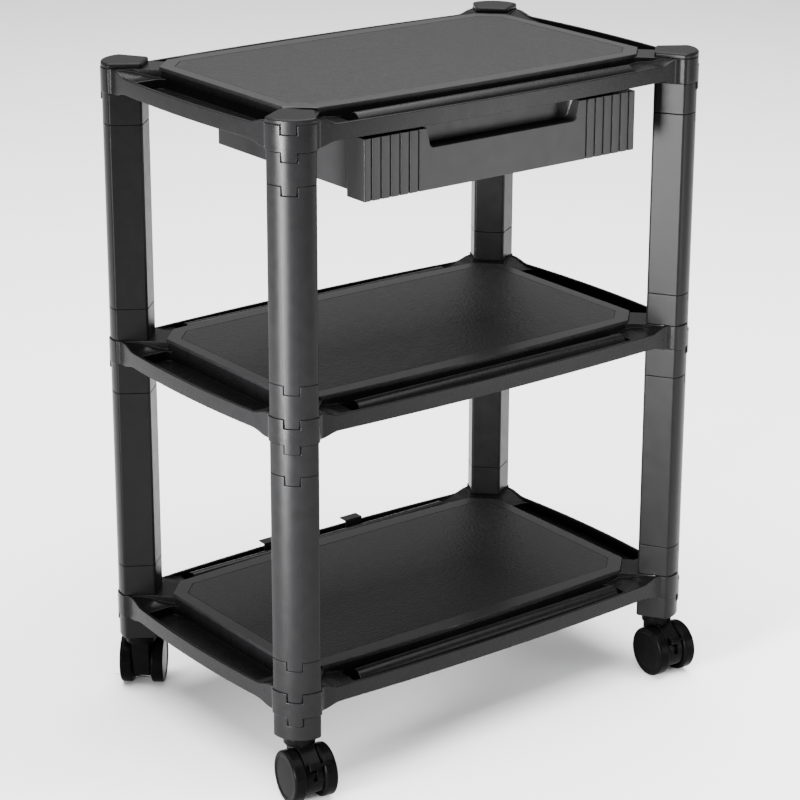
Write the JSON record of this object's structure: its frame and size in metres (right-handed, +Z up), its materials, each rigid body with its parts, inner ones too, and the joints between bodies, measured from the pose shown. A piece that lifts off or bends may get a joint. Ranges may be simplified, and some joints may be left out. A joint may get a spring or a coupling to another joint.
{
  "type": "mobile printer stand",
  "caption": "Wheeled plastic printer stand: flat shelves on stacked corner columns, side trays, a shallow drawer under the top shelf and twin-wheel casters.",
  "frame": {"origin": "on the floor under the middle of the stand's outline", "axes": "+Z up, +X along the long side, the drawer opens towards -Y"},
  "size_m": [0.5017, 0.3599, 0.6436],
  "materials": {
    "shelf": "satin moulded plastic, fine grain",
    "deck": "satin moulded plastic, smooth border",
    "mat": "fine pebble texture",
    "column": "satin moulded plastic, fine grain",
    "drawer": "satin moulded plastic",
    "caster": "gloss moulded nylon",
    "wheel": "gloss moulded nylon",
    "steel": "zinc plated steel"
  },
  "bodies": {
    "stand": {"bottom_shelf_frame": "shelf", "bottom_deck_panel": "deck", "bottom_deck_mat": "mat", "middle_shelf_frame": "shelf", "middle_deck_panel": "deck", "middle_deck_mat": "mat", "top_shelf_frame": "shelf", "top_deck_panel": "deck", "top_deck_mat": "mat", "cap_front_left": "column", "upper_tube_front_left": "column", "lower_tube_front_left": "column", "foot_front_left": "column", "caster_stem_front_left": "steel", "cap_front_right": "column", "upper_tube_front_right": "column", "lower_tube_front_right": "column", "foot_front_right": "column", "caster_stem_front_right": "steel", "cap_rear_left": "column", "upper_tube_rear_left": "column", "lower_tube_rear_left": "column", "foot_rear_left": "column", "caster_stem_rear_left": "steel", "cap_rear_right": "column", "upper_tube_rear_right": "column", "lower_tube_rear_right": "column", "foot_rear_right": "column", "caster_stem_rear_right": "steel", "sleeves_under_top": "column", "sleeves_over_middle": "column", "sleeves_under_middle": "column", "sleeves_over_bottom": "column", "runner_right": "drawer", "runner_left": "drawer", "runner_screws": "steel", "cable_clips": "drawer"},
    "drawer": {"drawer_box": "drawer", "drawer_front": "drawer", "drawer_front_screws": "steel"},
    "caster_front_left": {"caster_housing_front_left": "caster", "caster_axle_front_left": "steel"},
    "wheel_left_front_left": {"wheel_left_front_left": "wheel"},
    "wheel_right_front_left": {"wheel_right_front_left": "wheel"},
    "brake_front_left": {"brake_lever_front_left": "caster"},
    "caster_front_right": {"caster_housing_front_right": "caster", "caster_axle_front_right": "steel"},
    "wheel_left_front_right": {"wheel_left_front_right": "wheel"},
    "wheel_right_front_right": {"wheel_right_front_right": "wheel"},
    "brake_front_right": {"brake_lever_front_right": "caster"},
    "caster_rear_left": {"caster_housing_rear_left": "caster", "caster_axle_rear_left": "steel"},
    "wheel_left_rear_left": {"wheel_left_rear_left": "wheel"},
    "wheel_right_rear_left": {"wheel_right_rear_left": "wheel"},
    "caster_rear_right": {"caster_housing_rear_right": "caster", "caster_axle_rear_right": "steel"},
    "wheel_left_rear_right": {"wheel_left_rear_right": "wheel"},
    "wheel_right_rear_right": {"wheel_right_rear_right": "wheel"}
  },
  "joints": [
    {"name": "drawer_slide", "type": "slide", "parent": "stand", "child": "drawer", "axis": [0, -1, 0], "range_m": [0, 0.17]},
    {"name": "swivel_front_left", "type": "hinge", "parent": "stand", "child": "caster_front_left", "pos_m": [-0.22294, -0.13764, 0.055], "axis": [0, 0, 1], "continuous": true},
    {"name": "wheel_left_spin_front_left", "type": "hinge", "parent": "caster_front_left", "child": "wheel_left_front_left", "pos_m": [-0.22537, -0.15143, 0.025], "axis": [0.9848, -0.1736, 0], "continuous": true},
    {"name": "wheel_right_spin_front_left", "type": "hinge", "parent": "caster_front_left", "child": "wheel_right_front_left", "pos_m": [-0.22537, -0.15143, 0.025], "axis": [0.9848, -0.1736, 0], "continuous": true},
    {"name": "brake_front_left", "type": "hinge", "parent": "caster_front_left", "child": "brake_front_left", "pos_m": [-0.22784, -0.1654, 0.03608], "axis": [-0.9848, 0.1736, 0], "range_deg": [0, 12]},
    {"name": "swivel_front_right", "type": "hinge", "parent": "stand", "child": "caster_front_right", "pos_m": [0.22294, -0.13764, 0.055], "axis": [0, 0, 1], "continuous": true},
    {"name": "wheel_left_spin_front_right", "type": "hinge", "parent": "caster_front_right", "child": "wheel_left_front_right", "pos_m": [0.22148, -0.15157, 0.025], "axis": [0.9945, -0.1045, 0], "continuous": true},
    {"name": "wheel_right_spin_front_right", "type": "hinge", "parent": "caster_front_right", "child": "wheel_right_front_right", "pos_m": [0.22148, -0.15157, 0.025], "axis": [0.9945, -0.1045, 0], "continuous": true},
    {"name": "brake_front_right", "type": "hinge", "parent": "caster_front_right", "child": "brake_front_right", "pos_m": [0.22, -0.16567, 0.03608], "axis": [-0.9945, 0.1045, 0], "range_deg": [0, 12]},
    {"name": "swivel_rear_left", "type": "hinge", "parent": "stand", "child": "caster_rear_left", "pos_m": [-0.22294, 0.13764, 0.055], "axis": [0, 0, 1], "continuous": true},
    {"name": "wheel_left_spin_rear_left", "type": "hinge", "parent": "caster_rear_left", "child": "wheel_left_rear_left", "pos_m": [-0.21394, 0.14837, 0.025], "axis": [-0.766, 0.6428, 0], "continuous": true},
    {"name": "wheel_right_spin_rear_left", "type": "hinge", "parent": "caster_rear_left", "child": "wheel_right_rear_left", "pos_m": [-0.21394, 0.14837, 0.025], "axis": [-0.766, 0.6428, 0], "continuous": true},
    {"name": "swivel_rear_right", "type": "hinge", "parent": "stand", "child": "caster_rear_right", "pos_m": [0.22294, 0.13764, 0.055], "axis": [0, 0, 1], "continuous": true},
    {"name": "wheel_left_spin_rear_right", "type": "hinge", "parent": "caster_rear_right", "child": "wheel_left_rear_right", "pos_m": [0.22542, 0.15142, 0.025], "axis": [-0.9842, 0.1771, 0], "continuous": true},
    {"name": "wheel_right_spin_rear_right", "type": "hinge", "parent": "caster_rear_right", "child": "wheel_right_rear_right", "pos_m": [0.22542, 0.15142, 0.025], "axis": [-0.9842, 0.1771, 0], "continuous": true}
  ]
}
